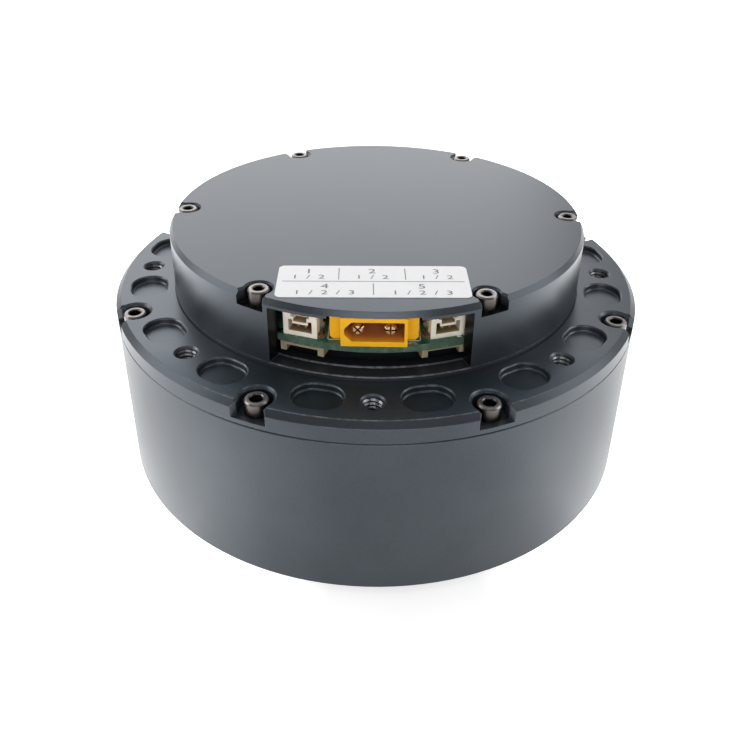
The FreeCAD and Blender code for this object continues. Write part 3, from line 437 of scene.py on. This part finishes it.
MATS_EXTRA = {
    "flange_screws": screw("screw_steel_flange", 0.0451, 8, 22.5, 1.90, 1.85, 0.0313),
    "cover_screws": screw("screw_steel_cover", 0.0349, 6, 29.3, 1.72, 1.5, 0.04355),
    "signal_header_left": header_shell("header_ivory_left", -11.47, -32.01, -17.7),
    "signal_header_right": header_shell("header_ivory_right", 11.4, -31.5, 18.0),
    "thread": bare_thread(),
    "ink": plain("label_ink", (0.09, 0.09, 0.10), (0.13, 0.13, 0.14), 900, (0.45, 0.55)),
    "silk": plain("board_silk", (0.62, 0.64, 0.62), (0.74, 0.76, 0.74), 700, (0.45, 0.55)),
}
SLOT = {s["node"]: s["material_slot"] for s in frame["record"]["subparts"]}
for name, ob in NODES.items():
    mat = MATS_EXTRA.get(name) or MATS[SLOT[name]]
    if not ob.data.materials:
        ob.data.materials.append(mat)
    for i in range(len(ob.data.materials)):
        ob.data.materials[i] = mat


# ------------------------------------------------------------------ detail pieces
def piece(name, verts, faces, material, body):
    me = bpy.data.meshes.new(name)
    me.from_pydata([tuple(c * MM for c in v) for v in verts], [], faces)
    me.update()
    bm = bmesh.new()
    bm.from_mesh(me)
    bmesh.ops.recalc_face_normals(bm, faces=bm.faces)
    bm.to_mesh(me)
    bm.free()
    me.materials.append(material)
    ob = bpy.data.objects.new(name, me)
    SCENE.collection.objects.link(ob)
    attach(ob, body)
    return ob


def pol(r, a):
    t = math.radians(a)
    return r * math.sin(t), -r * math.cos(t)


def threads(name, centres, z0, z1, body, root=1.645, crest=1.43, pitch=0.7, steps=28):
    """Right-hand internal M4 thread: a triangular ridge wound down each hole."""
    verts, faces = [], []
    turns = (z1 - z0) / pitch - 1.0
    n = int(turns * steps)
    for cx, cy in centres:
        first = len(verts)
        for i in range(n + 1):
            t = 2.0 * math.pi * i / steps
            z = z0 + 0.5 * pitch + pitch * i / steps
            grow = min(1.0, i / (0.4 * steps), (n - i) / (0.4 * steps))
            c = root - (root - crest) * grow
            for r, dz in ((root, -0.31), (c, -0.04), (c, 0.04), (root, 0.31)):
                verts.append((cx + r * math.cos(t), cy + r * math.sin(t), z + dz))
        for i in range(n):
            a, b = first + 4 * i, first + 4 * (i + 1)
            for j in range(4):
                k = (j + 1) % 4
                faces.append((a + j, a + k, b + k, b + j))
        faces.append(tuple(first + j for j in range(4)))
        faces.append(tuple(first + 4 * n + 3 - j for j in range(4)))
    return piece(name, verts, faces, MATS_EXTRA["thread"], body)


threads("rear_threads", [pol(42.5, 45 * k) for k in range(8)], 30.5, 33.85, "housing")
threads("output_threads", [pol(20.0, 45 * k) for k in range(8)], 0.2, 7.9, "output")


def slab(outline, z0, z1, verts, faces):
    """Adds an upright prism on a closed outline."""
    n, a = len(outline), len(verts)
    verts += [(x, y, z0) for x, y in outline] + [(x, y, z1) for x, y in outline]
    faces.append(tuple(a + n - 1 - i for i in range(n)))
    faces.append(tuple(a + n + i for i in range(n)))
    for i in range(n):
        j = (i + 1) % n
        faces.append((a + i, a + j, a + n + j, a + n + i))


def label():
    """The port label: a film with rounded corners, ruled lines and plain numbers."""
    cx, cy, turn = -0.3, -27.4, math.radians(1.6)
    w, h, r = 29.9, 10.4, 1.0

    def put(x, y):
        return cx + x * math.cos(turn) - y * math.sin(turn), cy + x * math.sin(turn) + y * math.cos(turn)

    ring = []
    for sx, sy, a0 in ((1, 1, 0), (-1, 1, 90), (-1, -1, 180), (1, -1, 270)):
        for i in range(9):
            t = math.radians(a0 + 90.0 * i / 8)
            ring.append(put(sx * (w / 2 - r) + r * math.cos(t), sy * (h / 2 - r) + r * math.sin(t)))
    verts, faces = [], []
    slab(ring, 46.0, 46.075, verts, faces)
    film = piece("label_film", verts, faces, MATS["label_white"], "housing")
    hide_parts("port_label")

    verts, faces = [], []

    def rule(x0, y0, x1, y1, t=0.14):
        dx, dy = x1 - x0, y1 - y0
        ln = math.hypot(dx, dy)
        nx, ny = -dy / ln * t / 2, dx / ln * t / 2
        slab([put(x0 - nx, y0 - ny), put(x1 - nx, y1 - ny), put(x1 + nx, y1 + ny), put(x0 + nx, y0 + ny)], 46.07, 46.092, verts, faces)

    rule(-w / 2 + 0.8, -0.1, w / 2 - 0.7, -0.1)
    rule(-w * 0.18, 0.5, -w * 0.18, 4.3)
    rule(w * 0.17, 0.5, w * 0.17, 4.3)
    rule(0.0, -4.4, 0.0, -0.8)
    cells = [(-w * 0.34, 3.25, "1", 1.0), (-w * 0.34, 1.3, "1 / 2", 0.86), (-w * 0.005, 3.25, "2", 1.0), (-w * 0.005, 1.3, "1 / 2", 0.86),
             (w * 0.335, 3.25, "3", 1.0), (w * 0.335, 1.3, "1 / 2", 0.86),
             (-w * 0.25, -1.75, "4", 1.0), (-w * 0.25, -3.75, "1 / 2 / 3", 0.86), (w * 0.25, -1.75, "5", 1.0), (w * 0.25, -3.75, "1 / 2 / 3", 0.86)]
    for x, y, text, size in cells:
        cu = bpy.data.curves.new("print", "FONT")
        cu.body = text
        cu.size = 2.1 * size
        cu.align_x, cu.align_y = "CENTER", "CENTER"
        cu.resolution_u = 3
        cu.space_character = 1.25
        tmp = bpy.data.objects.new("print", cu)
        SCENE.collection.objects.link(tmp)
        bpy.context.view_layer.update()
        me = bpy.data.meshes.new_from_object(tmp.evaluated_get(bpy.context.evaluated_depsgraph_get()))
        for p in me.polygons:
            a = len(verts)
            pts = [put(x + me.vertices[i].co.x * 1.25, y + me.vertices[i].co.y) for i in p.vertices]
            verts.extend((q[0], q[1], 46.092) for q in pts)
            faces.append(tuple(range(a, a + len(pts))))
        bpy.data.objects.remove(tmp)
        bpy.data.curves.remove(cu)
        bpy.data.meshes.remove(me)
    piece("label_print", verts, faces, MATS_EXTRA["ink"], "housing")


label()


def silk():
    """White outline printed on the board round the power connector, and solder fillets at the header tabs."""
    verts, faces = [], []
    z = 38.65

    def bar(x0, y0, x1, y1, t=0.18):
        dx, dy = x1 - x0, y1 - y0
        ln = math.hypot(dx, dy)
        nx, ny = -dy / ln * t / 2, dx / ln * t / 2
        slab([(x0 - nx, y0 - ny), (x1 - nx, y1 - ny), (x1 + nx, y1 + ny), (x0 + nx, y0 + ny)], z, z + 0.03, verts, faces)

    for s in (-1, 1):
        bar(s * 5.25, -32.78, s * 7.05, -32.78)
        bar(s * 7.14, -32.70, s * 7.14, -24.0)
        for cx, cy, a in ((s * 9.0, -28.0, 0), (s * 12.5, -26.5, 15 * s)):
            bar(cx - 0.8, cy, cx + 0.8, cy)
            bar(cx - 0.8, cy - 0.7, cx + 0.8, cy - 0.7)
    piece("board_print", verts, faces, MATS_EXTRA["silk"], "housing")

    verts, faces = [], []
    for a0, a1, r0, r1 in ((-27.0, -25.2, 33.2, 34.3), (-24.6, -23.4, 33.5, 34.3), (22.4, 23.6, 33.2, 34.2), (24.2, 25.2, 33.4, 34.2),
                           (-8.2, -6.9, 33.0, 33.9)):
        slab([pol(r0, a0), pol(r0, a1), pol(r1, a1), pol(r1, a0)], z, z + 0.035, verts, faces)
    piece("board_pads", verts, faces, MATS["solder_tin"], "housing")

    verts, faces = [], []
    for cx, cy, ang in ((-11.47, -32.01, -17.7), (11.4, -31.5, 18.0)):
        ca, sa = math.cos(math.radians(ang)), math.sin(math.radians(ang))
        for s in (-1, 1):
            # a low domed blob of solder round each tab
            rings = [(0.62, 0.0), (0.56, 0.07), (0.44, 0.14), (0.26, 0.19)]
            a = len(verts)
            lx, ly = s * 3.35, 1.55
            for k, (r, dz) in enumerate(rings):
                for i in range(16):
                    t = 2.0 * math.pi * i / 16
                    px = lx + s * 0.0 + r * math.cos(t) * 0.62
                    py = ly + r * math.sin(t) * 1.9
                    verts.append((cx + px * ca - py * sa, cy + px * sa + py * ca, z + dz))
            for k in range(len(rings) - 1):
                for i in range(16):
                    j = (i + 1) % 16
                    faces.append((a + 16 * k + i, a + 16 * k + j, a + 16 * (k + 1) + j, a + 16 * (k + 1) + i))
            faces.append(tuple(a + 16 * (len(rings) - 1) + i for i in range(16)))
            faces.append(tuple(a + 15 - i for i in range(16)))
    piece("header_solder", verts, faces, MATS["solder_tin"], "housing")


silk()


# ------------------------------------------------------------------ floor, backdrop and light
def make_stage():
    me = bpy.data.meshes.new("floor")
    s = 3.0
    me.from_pydata([(-s, -s, 0), (s, -s, 0), (s, s, 0), (-s, s, 0)], [], [(0, 1, 2, 3)])
    floor = bpy.data.objects.new("floor", me)
    SCENE.collection.objects.link(floor)
    m = Mat("floor_white")
    n = m.noise(6.0, 2.0, 0.5)
    m.color(m.ramp(n, [(0.3, (0.60, 0.60, 0.60)), (0.7, (0.62, 0.62, 0.62))]))
    m.set(Roughness=0.9)
    m.b.inputs["Emission Color"].default_value = (1.0, 1.0, 1.0, 1.0)
    # glowing patches painted into the floor's emission to the left and right of the body stand in for pale reflector
    # cards; they light the body's sides and show in its reflections
    x, y, z = m.xyz()
    xs = m.math("SUBTRACT", x, 0.006)
    psi = m.math("DIVIDE", m.math("ARCTAN2", m.math("ABSOLUTE", xs), m.math("MULTIPLY", y, -1.0)), math.pi)
    grey = lambda v: (v, v, v)
    close = m.ramp(psi, [(0.0, grey(0.0)), (0.08, grey(0.01)), (0.17, grey(0.14)), (0.27, grey(0.36)), (0.32, grey(0.30)),
                         (0.37, grey(0.24)), (0.44, grey(0.13)), (0.60, grey(0.10)), (1.0, grey(0.10))])
    far = m.ramp(psi, [(0.0, grey(0.0)), (0.26, grey(0.04)), (0.33, grey(0.13)), (0.40, grey(0.38)), (0.46, grey(0.64)),
                       (0.60, grey(0.68)), (0.80, grey(0.50)), (1.0, grey(0.30))])
    rho = m.math("SQRT", m.math("ADD", m.math("MULTIPLY", x, x), m.math("MULTIPLY", y, y)))

    def smooth(lo, hi, start, end):
        r = m.node("ShaderNodeMapRange", interpolation_type="SMOOTHSTEP")
        for k, v in (("From Min", lo), ("From Max", hi), ("To Min", start), ("To Max", end)):
            r.inputs[k].default_value = v
        m.link(rho, r.inputs["Value"])
        return r.outputs["Result"]

    close = m.math("MULTIPLY", close, m.rerange(x, -0.02, 0.03, 1.0, 0.84))
    side_light = m.mix(smooth(0.080, 0.095, 0.0, 1.0), close, far)
    glow = m.math("ADD", m.math("MULTIPLY", m.math("MULTIPLY", side_light, smooth(0.110, 0.160, 1.0, 0.2)), 4.0), 0.60)
    m.link(glow, m.b.inputs["Emission Strength"])
    m.b.inputs["Specular IOR Level"].default_value = 0.1
    floor.data.materials.append(m.m)

    w = bpy.data.worlds.new("studio")
    SCENE.world = w
    w.use_nodes = True
    bg = w.node_tree.nodes["Background"]
    bg.inputs["Color"].default_value = (1.0, 1.0, 1.0, 1.0)
    # paler behind and below, darker above the near side
    nt = w.node_tree
    co = nt.nodes.new("ShaderNodeTexCoord")
    dot = nt.nodes.new("ShaderNodeVectorMath")
    dot.operation = "DOT_PRODUCT"
    dot.inputs[1].default_value = (0.0, -0.62, 0.785)
    nt.links.new(co.outputs["Generated"], dot.inputs[0])
    mr = nt.nodes.new("ShaderNodeMapRange")
    for k, v in (("From Min", 0.0), ("From Max", 0.8), ("To Min", 0.50), ("To Max", 0.15)):
        mr.inputs[k].default_value = v
    nt.links.new(dot.outputs["Value"], mr.inputs["Value"])
    nt.links.new(mr.outputs["Result"], bg.inputs["Strength"])

    def area(name, loc, target, size, size_y, power, spread=180.0):
        li = bpy.data.lights.new(name, "AREA")
        li.shape = "RECTANGLE"
        li.size, li.size_y = size, size_y
        li.energy = power
        li.spread = math.radians(spread)
        o = bpy.data.objects.new(name, li)
        SCENE.collection.objects.link(o)
        o.location = loc
        d = Vector(target) - Vector(loc)
        o.rotation_euler = d.to_track_quat("-Z", "Y").to_euler()
        return o

    area("soft_back", (-0.25, 0.75, 0.50), (0, 0, 0.03), 1.12, 0.7, 4.85)
    area("soft_top", (0.0, 0.35, 1.0), (0, 0, 0), 1.0, 0.9, 4.2)
    area("soft_front", (0.0, -0.85, 0.42), (0, 0, 0.035), 0.7, 0.3, 3.6)
    area("soft_left", (-0.8, -0.05, 0.30), (0, 0, 0.02), 0.6, 0.5, 2.8)
    area("soft_right", (0.8, -0.05, 0.30), (0, 0, 0.02), 0.6, 0.5, 2.2)


make_stage()
